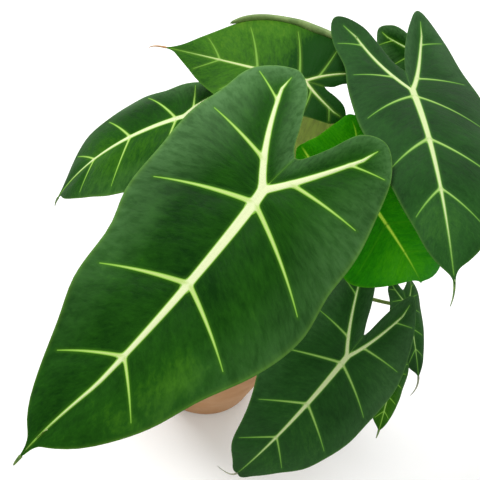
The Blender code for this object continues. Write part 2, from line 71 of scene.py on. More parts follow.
reachStations = (2, 3.3, 5, 7, 9.5, 12)
outwardStations, outwardShares = (8, 9, 10, 11, 12), (0.0, 0.16, 0.55, 0.92, 1.0)
inwardStations, inwardShares = (12, 13, 14, 15, 16), (1.0, 0.9, 0.55, 0.25, 0.0)

# How every blade is made: thickness, bends, ribs and the fine mesh.
blade = {
    "ribThickness": 0.003, "thinShare": 0.27, "above": 0.32, "foldDegrees": 4,
    "archReach": 0.34, "lobeReach": 0.35, "waveStations": 2.1,
    "waveRows": (0, 2, 4, 12, 15, 16), "waveShares": (0, 0.3, 1, 1, 0.3, 0),
    "bowRows": (0, 2, 8, 12), "sideRibStations": (3.3, 5.05, 7.0, 9.4, 10.9), "firstRow": 1.2,
    "sideRibEnd": 0.86, "ribLean": 0.2, "ribBow": 0.12, "midribStraight": 8,
    "midribBowTo": 0.96, "midribBowFade": 0.26, "midribBowPower": 0.7,
    "midribHalfWidth": 0.0165, "midribTo": 0.97, "midribEnd": 0.07, "sideRibHalfWidth": 0.0066,
    "sideRibTip": 0.08, "rootShare": 1.12, "rootLess": 0.75, "firstRoot": 0.72, "sinusTo": 0.92,
    "sinusWidths": (-0.06, -0.14), "lobeWidth": 0.72, "lobeBranch": (0.05, 0.6), "innerTo": 0.9,
    "innerWidths": (1.6, 0.8), "veinBlend": 0.003, "veinTaper": 1.15, "mainFade": 5,
    "puff": 0.011, "puffReach": 0.045,
    "rowsBetween": (0.0, 0.035, 0.09, 0.18, 0.3, 0.44, 0.56, 0.7, 0.82, 0.91, 0.965),
    "columns": (
        0, 0.012, 0.025, 0.04, 0.06, 0.085, 0.12, 0.17, 0.23, 0.3, 0.37, 0.44,
        0.51, 0.58, 0.65, 0.72, 0.78, 0.84, 0.89, 0.935, 0.97, 0.99, 1,
    ),
    "fewerRows": (0.0, 0.06, 0.2, 0.4, 0.6, 0.8, 0.94),
    "fewerColumns": (0, 0.02, 0.05, 0.1, 0.18, 0.3, 0.45, 0.6, 0.75, 0.88, 0.97, 1),
}

# Each leaf: place and turn of its stalk's end, bends, and how its outline differs from
# the plain one, for its left and its right half. Trims left out at the end are 1.
# The sheen sides scale the painted grey-green sheen on each half of a leaf.
leaves = {
    "front": {
        "at": (0.004, -0.098, 0.358), "length": 0.22, "turn": (-122, 32, 1),
        "droop": 8, "lobeDroop": 18, "arch": (24, 17), "lobes": (1, 1.04),
        "spread": (-0.007, 0.017), "sinus": -0.127, "wave": 0.0022,
        "reach": ((1.05, 1.19, 1.04, 1.12, 0.99, 0.97), (1.1, 1.06, 0.92, 0.91, 1.16, 1.12)),
        "trim": (
            (0.99, 1.15, 1.06, 1, 1.01, 1, 0.95, 0.91, 0.97, 0.98, 0.98, 1.02, 1.04, 0.82, 0.86),
            (1, 1.11, 0.98, 0.91, 1, 0.95, 1.06, 0.965, 0.935, 0.925, 1.13, 0.89, 0.89, 0.94, 0.97),
        ),
        "foot": (0.006, -0.03), "stalk": 0.0048, "green": "mature",
        "paintedSheenSides": (0.75, 1.25), "bow": 0.036, "ribShift": ((0.3, 0.45, 0.05), (0.15, 0.25, 0.3)),
    },
    "left": {
        "at": (-0.067, 0.032, 0.269), "length": 0.136, "turn": (-160, 26, 0),
        "droop": 46, "lobeDroop": 17, "arch": (27, 29), "lobes": (1, 0.96),
        "spread": (0, -0.007), "sinus": -0.123, "wave": 0.0015,
        "reach": ((1.02, 1.03, 1.09, 1.03, 1, 1), (1, 1.02, 1.06, 0.93, 0.88, 0.98)),
        "trim": (
            (1, 1.16, 1.06, 1.01, 1.02, 1.01),
            (0.89, 0.94, 1.02, 1.03, 0.91, 0.99, 1.06, 0.88, 0.96, 0.98),
        ),
        "foot": (-0.028, 0.004), "stalk": 0.0034, "green": "mature",
    },
    "back_left": {
        "at": (0.011, 0.041, 0.329), "length": 0.117, "turn": (165, 16, -14),
        "droop": 2, "lobeDroop": 15, "arch": (24, 7), "lobes": (1, 1),
        "spread": (0, 0), "sinus": -0.125, "wave": 0.0015,
        "reach": ((0.98, 0.92, 0.97, 1, 1, 1), (1.05, 1.12, 1.13, 1.17, 1.07, 1)),
        "trim": (
            (0.86, 0.9, 0.9, 0.96, 0.98, 0.95, 0.85, 0.78, 0.75, 0.75, 0.8, 0.9, 0.95),
            (1, 1, 1.03, 1.06, 1.16, 1.16, 1.08, 1, 1, 1, 1, 1, 0.95, 0.91, 1.15),
        ),
        "foot": (-0.01, 0.03), "stalk": 0.0034, "green": "pale", "paintedSheenSides": (0.2, 0.2),
    },
    "right": {
        "at": (0.0806, 0.0216, 0.365), "length": 0.164, "turn": (-74, -14, -1),
        "droop": 25, "lobeDroop": -19, "arch": (20, 32), "lobes": (1.53, 1.36),
        "spread": (-0.054, 0.024), "sinus": -0.145, "wave": 0.0018,
        "reach": ((1.32, 1.15, 0.98, 1, 1.01, 1.01), (1.14, 0.93, 0.71, 0.79, 0.75, 1.48)),
        "trim": (
            (1, 1.07, 1.03, 1, 1, 1, 1, 1, 0.97, 0.94, 1.04, 1.1, 0.93, 0.97),
            (1.2, 1.16, 0.99, 1.01, 1.1, 0.99, 0.96, 1.02, 1.1, 0.92, 0.86, 1.04, 0.93, 0.97),
        ),
        "foot": (0.012, 0.008), "stalk": 0.0042, "green": "dark", "paintedSheenSides": (1.3, 0.35),
    },
    "young": {
        "at": (0.065, -0.031, 0.318), "length": 0.103, "turn": (-25, 27, 35),
        "droop": 52, "lobeDroop": 17, "arch": (23, 20), "lobes": (1.24, 1.31),
        "spread": (0.057, 0.006), "sinus": -0.42, "wave": 0.001,
        "reach": ((1.06, 1.18, 1, 1, 1, 1.15), (0.94, 1.11, 1.24, 0.99, 1, 1.02)),
        "trim": ((1.6, 2.1, 1.6, 1.25, 1.08), (1, 1.03, 1.13, 1.24, 1.28, 1.25, 1.15, 1.05)),
        "foot": (0.03, -0.012), "stalk": 0.003, "green": "young", "innerRibs": {1: (12.5,)},
    },
    "low": {
        "at": (0.098, -0.083, 0.199), "length": 0.138, "turn": (-117, 35, -20),
        "droop": 47, "lobeDroop": 6, "arch": (35, 35), "lobes": (1.41, 1.34),
        "spread": (-0.049, 0.024), "sinus": -0.145, "wave": 0.0015,
        "reach": ((1.07, 1.14, 1.08, 1.02, 1.05, 0.86), (1.04, 0.97, 0.92, 1.11, 0.93, 1.23)),
        "trim": (
            (1.6, 1.25, 1.06, 1.07, 1.03, 1.03, 1.01, 1, 1, 1, 1, 1, 0.95, 0.91, 0.86),
            (1.5, 1.3, 1.2, 1.01, 0.99, 0.99, 1.05, 1.02, 1, 1, 1, 1, 1.08, 1.16, 1.16),
        ),
        "foot": (0.03, -0.034), "stalk": 0.0034, "green": "dark",
    },
    "low_right": {
        "at": (0.139, -0.004, 0.18), "length": 0.061, "turn": (-53, 33, -9),
        "droop": 14, "lobeDroop": 10, "arch": (37, 24), "lobes": (0.91, 1),
        "spread": (0.018, -0.016), "sinus": -0.19, "wave": 0.0008,
        "reach": ((1, 1, 0.89, 0.99, 0.98, 1.05), (1.01, 1.02, 1, 1, 1, 0.96)),
        "trim": (
            (1, 1, 0.93, 0.81, 0.76, 0.75, 0.76, 0.77, 0.8, 0.85, 0.9),
            (1, 1.04, 1.08, 1.04, 1, 1, 0.97, 0.9, 0.8, 0.76, 0.84, 0.95),
        ),
        "foot": (0.048, 0.008), "stalk": 0.0022, "green": "dark",
    },
    "small": {
        "at": (0.1418, -0.0568, 0.1552), "length": 0.047, "turn": (-83, 38, 3),
        "droop": 26, "lobeDroop": 15, "arch": (29, 25), "lobes": (1, 1),
        "spread": (0, 0), "sinus": -0.125, "wave": 0.0006,
        "reach": ((1.01, 0.98, 0.97, 0.92, 1, 1), (1, 1, 1, 1, 1, 1)),
        "trim": ((1, 1, 0.87, 0.77, 0.71, 0.71, 0.72, 0.74, 0.78, 0.85, 0.95), (1, 1)),
        "foot": (0.05, -0.016), "stalk": 0.002, "green": "mature",
    },
    "back_right": {
        "at": (0.093, 0.105, 0.33), "length": 0.084, "turn": (-30, 30, 28),
        "droop": 40, "lobeDroop": 14, "arch": (65, 20), "lobes": (0.8, 1.35),
        "spread": (0, 0.03), "sinus": -0.1, "wave": 0.0006,
        "reach": ((1, 1, 0.9, 0.8, 0.8, 0.8), (1, 1, 1, 1.05, 1.2, 1.2)),
        "trim": (
            (1, 1, 1, 1, 1, 1, 0.95, 0.9, 0.85, 0.85, 0.85, 0.9),
            (1, 1, 1, 1, 1, 1, 1, 1, 1, 1, 1, 1, 1.25, 1.6, 1.6),
        ),
        "foot": (0.014, 0.032), "stalk": 0.0026, "green": "mature",
    },
    "far_right": {
        "at": (0.159, -0.023, 0.338), "length": 0.067, "turn": (-31, 27, 1),
        "droop": 30, "lobeDroop": 16, "arch": (25, 26), "lobes": (1, 0.92),
        "spread": (0, 0.008), "sinus": -0.12, "wave": 0.0008,
        "reach": ((1, 1, 1, 1, 1, 1), (1, 1, 1, 0.99, 1.02, 1.01)),
        "foot": (0.036, 0.01), "stalk": 0.0024, "green": "mature",
    },
}
smallLeaves = ("low_right", "small", "far_right")


# Materials

def newMaterial(name):
    made = bpy.data.materials.new(name)
    made.use_nodes = True
    tree = made.node_tree
    return made, tree, tree.nodes["Principled BSDF"]


def addNode(tree, kind, settings=None, values=None):
    node = tree.nodes.new(kind)
    for key, value in (settings or {}).items():
        setattr(node, key, value)
    for key, value in (values or {}).items():
        node.inputs[key].default_value = value
    return node


def objectCoords(tree):
    return addNode(tree, "ShaderNodeTexCoord").outputs["Object"]


def flowCoords(tree):
    return addNode(tree, "ShaderNodeUVMap", {"uv_map": "flow"}).outputs["UV"]


def layerValue(tree, name):
    return addNode(tree, "ShaderNodeAttribute", {"attribute_name": name}).outputs["Fac"]


def ramp(tree, source, stops):
    node = tree.nodes.new("ShaderNodeValToRGB")
    elements = node.color_ramp.elements
    while len(elements) < len(stops):
        elements.new(0.5)
    for element, (place, colour) in zip(elements, stops):
        element.position = place
        element.color = (*colour, 1.0)
    tree.links.new(source, node.inputs["Fac"])
    return node.outputs["Color"]


def spread(tree, source, low, high, newLow=0.0, newHigh=1.0, smooth=True):
    kind = "SMOOTHSTEP" if smooth else "LINEAR"
    node = addNode(tree, "ShaderNodeMapRange", {"interpolation_type": kind}, {
        "From Min": low, "From Max": high, "To Min": newLow, "To Max": newHigh,
    })
    tree.links.new(source, node.inputs["Value"])
    return node.outputs["Result"]


def calculate(tree, operation, first, second):
    node = addNode(tree, "ShaderNodeMath", {"operation": operation})
    for socket, value in zip(node.inputs, (first, second)):
        if isinstance(value, (int, float)):
            socket.default_value = value
        else:
            tree.links.new(value, socket)
    return node.outputs["Value"]


# The sources added up, each times its share.
def weighted(tree, *parts):
    total = None
    for source, share in parts:
        part = calculate(tree, "MULTIPLY", source, share)
        total = part if total is None else calculate(tree, "ADD", total, part)
    return total


def mixColours(tree, share, first, second):
    node = addNode(tree, "ShaderNodeMix", {"data_type": "RGBA"})
    for key, value in (("Factor", share), ("A", first), ("B", second)):
        socket = node.inputs[key]
        if isinstance(value, (int, float)):
            socket.default_value = value
        elif isinstance(value, tuple):
            socket.default_value = (*value, 1.0)
        else:
            tree.links.new(value, socket)
    return node.outputs["Result"]


def cloudy(tree, place, scale, detail=3.0, rough=0.55, stretch=(1, 1, 1), distort=0.0):
    mapping = addNode(tree, "ShaderNodeMapping", values={"Scale": stretch})
    tree.links.new(place, mapping.inputs["Vector"])
    node = addNode(tree, "ShaderNodeTexNoise", values={
        "Scale": scale, "Detail": detail, "Roughness": rough, "Distortion": distort,
    })
    tree.links.new(mapping.outputs["Vector"], node.inputs["Vector"])
    return node.outputs["Fac"]


def paint(tree, shader, colour, rough, specular=0.5):
    tree.links.new(colour, shader.inputs["Base Color"])
    if isinstance(rough, float):
        shader.inputs["Roughness"].default_value = rough
    else:
        tree.links.new(rough, shader.inputs["Roughness"])
    shader.inputs["Specular IOR Level"].default_value = specular


def bumpFrom(tree, shader, height, strength, distance):
    node = addNode(tree, "ShaderNodeBump", values={"Strength": strength, "Distance": distance})
    tree.links.new(height, node.inputs["Height"])
    tree.links.new(node.outputs["Normal"], shader.inputs["Normal"])


# A plain material whose colour follows one cloudy pattern.
def mottled(name, scale, detail, stops, rough, specular=0.5):
    made, tree, shader = newMaterial(name)
    cloud = cloudy(tree, objectCoords(tree), scale, detail)
    paint(tree, shader, ramp(tree, cloud, stops), rough, specular)
    return made


# Each finish's grey-green sheen colour and its share are painted sheen mixed into the leaf colour.
leafFinishes = {
    "mature": {
        "deep": (0.002, 0.028, 0.0006), "mid": (0.01, 0.068, 0.0022),
        "bright": (0.05, 0.18, 0.004), "paintedSheen": (0.072, 0.17, 0.056),
        "paintedSheenShare": 0.95, "sheen": 0.01, "sheenTint": (0.3, 0.52, 0.3),
        "core": (0.66, 0.72, 0.42), "side": (0.43, 0.59, 0.17), "edge": (0.2, 0.43, 0.045),
        "veins": 1.0, "sideVeins": 1.0, "specular": 0.05,
    },
    "dark": {
        "deep": (0.004, 0.029, 0.003), "mid": (0.012, 0.062, 0.008),
        "bright": (0.038, 0.135, 0.016), "paintedSheen": (0.05, 0.115, 0.044),
        "paintedSheenShare": 0.5, "sheen": 0.02, "sheenTint": (0.32, 0.48, 0.34),
        "core": (0.55, 0.64, 0.32), "side": (0.3, 0.47, 0.12), "edge": (0.12, 0.3, 0.035),
        "veins": 0.92, "sideVeins": 1.0, "specular": 0.06,
    },
    "young": {
        "deep": (0.002, 0.08, 0.0001), "mid": (0.012, 0.165, 0.0002),
        "bright": (0.048, 0.29, 0.0004), "paintedSheen": (0.03, 0.21, 0.002),
        "paintedSheenShare": 0.0, "sheen": 0.0, "sheenTint": (0.8, 0.95, 0.6),
        "core": (0.4, 0.62, 0.05), "side": (0.03, 0.2, 0.002), "edge": (0.1, 0.34, 0.004),
        "veins": 0.9, "sideVeins": 0.12, "specular": 0.02,
    },
    "pale": {
        "deep": (0.003, 0.042, 0.0005), "mid": (0.034, 0.13, 0.005),
        "bright": (0.11, 0.235, 0.016), "paintedSheen": (0.07, 0.17, 0.035),
        "paintedSheenShare": 0.3, "sheen": 0.04, "sheenTint": (0.3, 0.52, 0.24),
        "core": (0.62, 0.67, 0.34), "side": (0.24, 0.42, 0.08), "edge": (0.16, 0.36, 0.04),
        "veins": 0.85, "sideVeins": 0.8, "specular": 0.05,
    },
}
leafLooks = {
    "patchScale": 16.0, "streakScale": 9.0, "streakStretch": (9.0, 0.55, 1.0),
    "fineScale": 30.0, "fineStretch": (7.0, 0.5, 1.0), "patchShare": 0.62, "streakShare": 0.38,
    "fineShare": 0.24, "toneStops": (0.44, 0.68, 1.02), "haloReach": 2.2, "haloShare": 0.3,
    "innerEdge": (-0.7, -0.1), "veinEdge": (-0.12, 0.36), "marginShare": 0.22,
    "rough": (0.48, 0.6), "sheenRough": 0.42, "underTint": (0.16, 0.24, 0.13),
    "underRib": (0.22, 0.33, 0.1),
}


def makeLeafTop(kind):
    finish, looks = leafFinishes[kind], leafLooks
    made, tree, shader = newMaterial(f"leafTop_{kind}")
    flow, place = flowCoords(tree), objectCoords(tree)
    vein, main, paintedLightShade, rim = (layerValue(tree, name) for name in ("veinEdge", "mainRib", "paintedLightShade", "rim"))
    patches = cloudy(tree, place, looks["patchScale"], 3.0)
    streaks = cloudy(tree, flow, looks["streakScale"], 5.0, 0.62, looks["streakStretch"], 0.25)
    fine = cloudy(tree, flow, looks["fineScale"], 4.0, 0.6, looks["fineStretch"], 0.4)
    # The tone takes in the painted light and shade along with the random patches and streaks.
    tone = weighted(
        tree, (patches, looks["patchShare"]), (paintedLightShade, 1.0),
        (streaks, looks["streakShare"]), (fine, looks["fineShare"]),
    )
    shades = (finish["deep"], finish["mid"], finish["bright"])
    base = ramp(tree, tone, tuple(zip(looks["toneStops"], shades)))
    # Painted sheen: the finish's grey-green sheen colour is mixed in, most near the margin, broken up by
    # patches and streaks.
    paintedSheenMask = layerValue(tree, "paintedSheen")
    for source, low in ((patches, 0.3), (streaks, 0.36)):
        paintedSheenMask = calculate(tree, "MULTIPLY", paintedSheenMask, spread(tree, source, low, 0.62, 0.55))
    paintedSheenMask = calculate(tree, "MULTIPLY", paintedSheenMask, finish["paintedSheenShare"])
    base = mixColours(tree, paintedSheenMask, base, finish["paintedSheen"])
    halo = spread(tree, vein, 0.0, looks["haloReach"], looks["haloShare"] * finish["sideVeins"], 0.0)
    base = mixColours(tree, halo, base, finish["bright"])
    veinTint = mixColours(tree, main, finish["side"], finish["core"])
    inner = spread(tree, vein, *looks["innerEdge"], 1.0, 0.0)
    veinTint = mixColours(tree, inner, finish["edge"], veinTint)
    share = spread(tree, vein, *looks["veinEdge"], finish["veins"], 0.0)
    sideShare = spread(tree, main, 0.0, 1.0, finish["sideVeins"], 1.0, False)
    colour = mixColours(tree, calculate(tree, "MULTIPLY", share, sideShare), base, veinTint)
    margin = spread(tree, rim, 0.0, 1.0, 0.0, looks["marginShare"], False)
    colour = mixColours(tree, margin, colour, finish["edge"])
    paint(tree, shader, colour, spread(tree, streaks, 0.3, 0.7, *looks["rough"]), finish["specular"])
    shader.inputs["Sheen Weight"].default_value = finish["sheen"]
    shader.inputs["Sheen Roughness"].default_value = looks["sheenRough"]
    shader.inputs["Sheen Tint"].default_value = (*finish["sheenTint"], 1.0)
    bumpFrom(tree, shader, weighted(tree, (streaks, 1.0), (fine, 0.5)), 0.45, 0.0009)
    return made


def makeLeafUnder(kind):
    finish, looks = leafFinishes[kind], leafLooks
    made, tree, shader = newMaterial(f"leafUnder_{kind}")
    streaks = cloudy(tree, flowCoords(tree), looks["streakScale"], 5.0, 0.6, looks["streakStretch"], 0.25)
    pale = tuple(0.55 * c + 0.45 * p for c, p in zip(finish["bright"], looks["underTint"]))
    dim = tuple(0.55 * c for c in pale)
    base = ramp(tree, streaks, ((0.3, dim), (0.7, pale)))
    share = spread(tree, layerValue(tree, "veinEdge"), -0.2, 0.6, 0.85, 0.0)
    paint(tree, shader, mixColours(tree, share, base, looks["underRib"]), 0.62, 0.2)
    bumpFrom(tree, shader, streaks, 0.3, 0.0006)
    return made


leafMaterials = {kind: (makeLeafTop(kind), makeLeafUnder(kind)) for kind in leafFinishes}
print("leaf materials made")


# Leaf shape: the same formula as the frame, on a much finer mesh.

def smoothCurve(points, stations):
    last = len(points) - 1
    stations = np.clip(stations, 0, last)
    i = np.minimum(stations.astype(int), last - 1)
    t = (stations - i)[..., None]
    padded = np.vstack((2 * points[0] - points[1], points, 2 * points[-1] - points[-2]))
    a, b, c, d = padded[i], padded[i + 1], padded[i + 2], padded[i + 3]
    square = (2 * a - 5 * b + 4 * c - d) * t**2
    cube = (-a + 3 * b - 3 * c + d) * t**3
    return 0.5 * (2 * b + (c - a) * t + square + cube)


def halfOutline(leaf, half):
    shape = np.array(outlineShape)
    points = shape.copy()
    stations = np.arange(len(points))
    points[:, 1] *= np.interp(stations, reachStations, leaf["reach"][half])
    grow = leaf["lobes"][half]
    behind = points[:, 0] < 0
    lobe, shaping = int(lobeRow), outlineShaping
    start = 1 + shaping["growStart"] * (grow - 1)
    points[behind, 0] *= np.interp(stations[behind], (shaping["growFrom"], lobe), (start, grow))
    lobeTip = points[lobe, 0]
    share = (shape[lobe:, 0] - shaping["sinusAt"]) / (shaping["lobeAt"] - shaping["sinusAt"])
    points[lobe:, 0] = leaf["sinus"] + share * (lobeTip - leaf["sinus"])
    outward = np.interp(stations, shaping["spreadRows"], shaping["spreadShares"])
    points[:, 1] += leaf["spread"][half] * outward
    points[lobe + 1:-1, 1] = np.maximum(points[lobe + 1:-1, 1], shaping["sinusGap"])
    return points * leaf["length"]


# How far the margin stands from the ribs, against the plain outline.
def trimAt(leaf, half, stations):
    trim = leaf.get("trim", ((), ()))[half]
    rest = [1.0] * (outlineShaping["trims"] - len(trim))
    return smoothCurve(np.array((1.0, *trim, *rest, 1.0))[:, None], stations)[:, 0]


def lobeRibPoints(leaf, half, share):
    reach = leaf["reach"][half]
    points = np.array(lobeRib)
    points[:, 0] *= leaf["lobes"][half]
    points[:, 1] *= (reach[4] + reach[5]) / 2
    points[:, 1] += leaf["spread"][half] * np.array(lobeSpread)
    share = share[..., None]
    curve = (1 - share) ** 2 * points[0] + 2 * share * (1 - share) * points[1] + share**2 * points[2]
    return curve * leaf["length"]


def midribPoints(leaf, station):
    ahead = np.maximum(np.array(outlineShape)[:, 0], 0)
    forward = np.maximum(ahead - blade["ribLean"] * (1 - ahead ** blade["midribStraight"]), 0)
    x = np.interp(station, np.arange(len(forward)), forward) * leaf["length"]
    return np.stack((x, np.zeros_like(x)), -1)


# The mesh rows of one half: their stations, and how far along the lobe's rib each starts.
def meshRows(small):
    between = blade["fewerRows"] if small else blade["rowsBetween"]
    sideRibs = blade["sideRibStations"]
    anchors = (0.0, blade["firstRow"], *sideRibs[:3], stalkRow, *sideRibs[3:], lobeRow)
    stations = []
    for near, far in zip(anchors, anchors[1:]):
        stations += [near + (far - near) * share for share in between]
    stations = np.array((*stations, lobeRow))
    shares = np.interp(stations, outwardStations, outwardShares)
    back = shares[shares > 0][:-1][::-1]
    backStations = np.interp(back, inwardShares[::-1], inwardStations[::-1])
    return np.concatenate((stations, backStations, [sinusRow])), np.concatenate((shares, back, [0.0]))


# Distance to a bent line, and how far along it the nearest place is.
def lineGap(points, line):
    best = np.full(points.shape[:-1], 1e9)
    where = np.zeros(points.shape[:-1])
    for i, (start, end) in enumerate(zip(line, line[1:])):
        leg = end - start
        along = np.clip(((points - start) @ leg) / max(leg @ leg, 1e-12), 0, 1)
        gap = np.linalg.norm(points - start - along[..., None] * leg, axis=-1)
        nearer = gap < best
        best = np.where(nearer, gap, best)
        where = np.where(nearer, (i + along) / (len(line) - 1), where)
    return best, where


# How far a row bows between rib and margin.
def rowBow(rows):
    return np.interp(rows, blade["bowRows"], (0, blade["ribBow"], blade["ribBow"], 0))


# Where on the margin a row ends.
def edgeStation(leaf, half, rows):
    shift = leaf.get("ribShift", ((0, 0, 0), (0, 0, 0)))[half]
    return rows + np.interp(rows, (0, *blade["sideRibStations"][:4]), (0, *shift, 0))


# Flat and bent places of one half, as grids.
def halfSheet(leaf, half, rows, shares, columns):
    outline = halfOutline(leaf, half)
    v = columns[None, :, None]
    onMidrib = (rows < stalkRow + 0.0001)[:, None]
    starts = np.where(onMidrib, midribPoints(leaf, rows), lobeRibPoints(leaf, half, shares))
    edges = edgeStation(leaf, half, rows)
    spans = (smoothCurve(outline, edges) - starts) * trimAt(leaf, half, edges)[:, None]
    sideways = np.stack((-spans[:, 1], spans[:, 0]), -1)
    bow = rowBow(rows)[:, None, None]
    flat = starts[:, None] + spans[:, None] * v + bow * v * (1 - v) * sideways[:, None]
    bent = bentPoints(leaf, half, flat, edges[:, None], columns[None])
    ahead = np.clip(flat[..., 0] / leaf["length"], 0, 1)
    nearTip = np.clip((blade["midribBowTo"] - ahead) / blade["midribBowFade"], 0, 1)
    sideways = leaf.get("bow", 0.0) * leaf["length"] * nearTip
    sideways = sideways * np.sin(math.pi * ahead) ** blade["midribBowPower"]
    bent[..., 1] += sideways * (1 - columns[None])
    return flat, bent


def bentPoints(leaf, half, flat, station, v):
    x, y = flat[..., 0], flat[..., 1]
    bend = math.radians(leaf["arch"][half]) / (blade["archReach"] * leaf["length"])
    fold = math.radians(blade["foldDegrees"])
    across = (math.sin(fold) - np.sin(fold - bend * y)) / bend
    rise = (np.cos(fold - bend * y) - math.cos(fold)) / bend
    taper = np.interp(station, blade["waveRows"], blade["waveShares"])
    rise = rise + leaf["wave"] * taper * v * v * np.sin(math.pi * station / blade["waveStations"] + half)
    front = x >= 0
    frontCurl = math.radians(leaf["droop"]) / leaf["length"]
    lobeCurl = math.radians(leaf["lobeDroop"]) / (blade["lobeReach"] * leaf["length"])
    curl = np.where(front, frontCurl, lobeCurl)
    angle = curl * np.abs(x)
    along = np.sin(angle) / curl + rise * np.sin(angle)
    drop = (1 - np.cos(angle)) / curl
    ahead = np.where(front, 1, -1) * along
    return np.stack((ahead, (1, -1)[half] * across, rise * np.cos(angle) - drop), -1)


# Every rib of one half: its flat line, half width at both ends in shares, main or side.
def ribLines(leaf, half):
    outline = halfOutline(leaf, half)
    length = leaf["length"]
    wide, thin, fine = blade["midribHalfWidth"], blade["sideRibHalfWidth"], blade["sideRibTip"]
    midrib = np.array(((0.0, 0.0), (length * blade["midribTo"], 0.0)))
    sinus = np.array(((0.0, 0.0), (leaf["sinus"] * length * blade["sinusTo"], 0.0)))
    sinusStart, sinusEnd = blade["sinusWidths"]
    lines = [(midrib, wide, wide * blade["midribEnd"], 1.0)]
    lines.append((sinus, thin * sinusStart, thin * sinusEnd, 0.0))
    lobeLine = lobeRibPoints(leaf, half, np.linspace(0, 1, 20))
    for station in (*blade["sideRibStations"], lobeRow):
        share = float(np.interp(station, outwardStations, outwardShares))
        row = np.array((station,))
        onLobe = lobeRibPoints(leaf, half, np.array((share,)))[0]
        start = midribPoints(leaf, row)[0] if share == 0 else onLobe
        edge = edgeStation(leaf, half, row)
        span = (smoothCurve(outline, edge)[0] - start) * trimAt(leaf, half, edge)[0]
        if station == lobeRow:
            steps = np.linspace(*blade["lobeBranch"], 11)[:, None]
            lobe = np.vstack((lobeLine, start + span * steps))
            lines.append((lobe, wide * blade["lobeWidth"], thin * fine, 1.0))
            continue
        steps = np.linspace(0, blade["sideRibEnd"], 14)[:, None]
        sideways = rowBow(station) * np.array((-span[1], span[0]))
        line = start + span * steps + steps * (1 - steps) * sideways
        root = thin * (blade["rootShare"] - blade["rootLess"] * share)
        root *= blade["firstRoot"] if station < blade["sideRibStations"][1] else 1
        lines.append((line, root, thin * fine, 0.0))
    for station in leaf.get("innerRibs", {}).get(half, ()):
        share = float(np.interp(station, inwardStations, inwardShares))
        start = lobeRibPoints(leaf, half, np.array((share,)))[0]
        edge = smoothCurve(outline, np.array((station,)))[0]
        line = start + (edge - start) * np.linspace(0, blade["innerTo"], 8)[:, None]
        rootWidth, endWidth = blade["innerWidths"]
        lines.append((line, thin * rootWidth, thin * endWidth, 1.0))
    return lines


# Distance from the nearest rib's edge in mm, share of a main rib, distance from any rib.
def veinFacts(leaf, half, flat):
    total = np.zeros(flat.shape[:-1])
    mainTotal = np.zeros(flat.shape[:-1])
    nearest = np.full(flat.shape[:-1], 1e9)
    blend = blade["veinBlend"] * leaf["length"] * 1000
    for line, widthStart, widthEnd, main in ribLines(leaf, half):
        gap, along = lineGap(flat, line)
        width = leaf["length"] * (widthEnd + (widthStart - widthEnd) * (1 - along ** blade["veinTaper"]))
        weight = np.exp(np.clip((width - gap) * 1000 / blend, -60, 60))
        total += weight
        mainTotal += weight * main * (1 - along ** blade["mainFade"])
        nearest = np.minimum(nearest, gap)
    return -blend * np.log(total), mainTotal / total, nearest


# Where the painted grey-green sheen begins between rib and margin, and how much there is, lobes to tip.
paintedSheen = {
    "beginAt": (-0.12, 0.15), "begin": (0.26, 0.5), "ahead": (-0.3, 0.05, 0.45, 0.8),
    "amount": (1.0, 0.95, 0.4, 0.0),
}


# How much painted grey-green sheen is mixed into the leaf colour: most at the back and along the margin,
# scaled for each half.
def paintedSheenAt(leaf, half, flat, columns):
    ahead = flat[..., 0] / leaf["length"]
    begin = np.interp(ahead, paintedSheen["beginAt"], paintedSheen["begin"])
    toMargin = np.clip((columns[None] - begin) / (1 - begin), 0, 1)
    side = leaf.get("paintedSheenSides", (1.0, 1.0))[half]
    return side * toMargin * np.interp(ahead, paintedSheen["ahead"], paintedSheen["amount"])


# Painted light and painted shade: brighter places where light comes through the blade, darker places
# where it lies in shade, given as (ahead, left, size, amount) in shares of the length.
def paintedLightShadeAt(leaf, half, flat):
    x = flat[..., 0] / leaf["length"]
    y = (1, -1)[half] * flat[..., 1] / leaf["length"]
    total = np.zeros(x.shape)
    for ahead, left, size, amount in paintedLightShadePlaces.get(leaf["name"], ()):
        total += amount * np.exp(-((x - ahead) ** 2 + (y - left) ** 2) / size**2)
    return total


# Positive amounts are painted light, negative amounts painted shade.
paintedLightShadePlaces = {
    "front": ((0.55, 0.2, 0.09, 0.14), (0.3, 0.2, 0.09, 0.12), (0.84, 0.08, 0.08, 0.04),
              (0.72, 0.14, 0.06, 0.1), (0.86, -0.06, 0.06, 0.06),
              (0.12, -0.16, 0.2, -0.12), (0.45, 0.08, 0.16, -0.06)),
    "left": ((0.55, 0.0, 0.25, 0.12),),
    "back_left": ((-0.2, 0.0, 0.22, -0.55), (0.0, -0.25, 0.18, -0.3)),
    "right": ((0.2, 0.0, 0.4, -0.12), (0.8, -0.05, 0.14, 0.1)),
    "young": ((0.35, 0.05, 0.3, 0.1), (0.7, -0.12, 0.2, 0.16), (-0.4, 0.0, 0.35, 0.16)),
    "small": ((0.4, 0.0, 0.5, 0.28),),
}


def leafFrame(leaf):
    heading, pitch, roll = (math.radians(angle) for angle in leaf["turn"])
    cosHeading, sinHeading = math.cos(heading), math.sin(heading)
    ahead = Vector((cosHeading * math.cos(pitch), sinHeading * math.cos(pitch), -math.sin(pitch)))
    left = Vector((-sinHeading, cosHeading, 0.0))
    up = ahead.cross(left)
    side = left * math.cos(roll) + up * math.sin(roll)
    normal = up * math.cos(roll) - left * math.sin(roll)
    return Matrix.Translation(leaf["at"]) @ Matrix((ahead, side, normal)).transposed().to_4x4()


def meshFrom(name, bm):
    mesh = bpy.data.meshes.new(name)
    bm.to_mesh(mesh)
    bm.free()
    return mesh


def addObject(name, data):
    made = bpy.data.objects.new(name, data)
    bpy.context.scene.collection.objects.link(made)
    return made


def finishPiece(name, bm, materials, smooth=True):
    if smooth:
        for face in bm.faces:
            face.smooth = True
    mesh = meshFrom(name, bm)
    for made in materials:
        mesh.materials.append(made)
    piece = addObject(name, mesh)
    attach(piece, "root")
    return piece


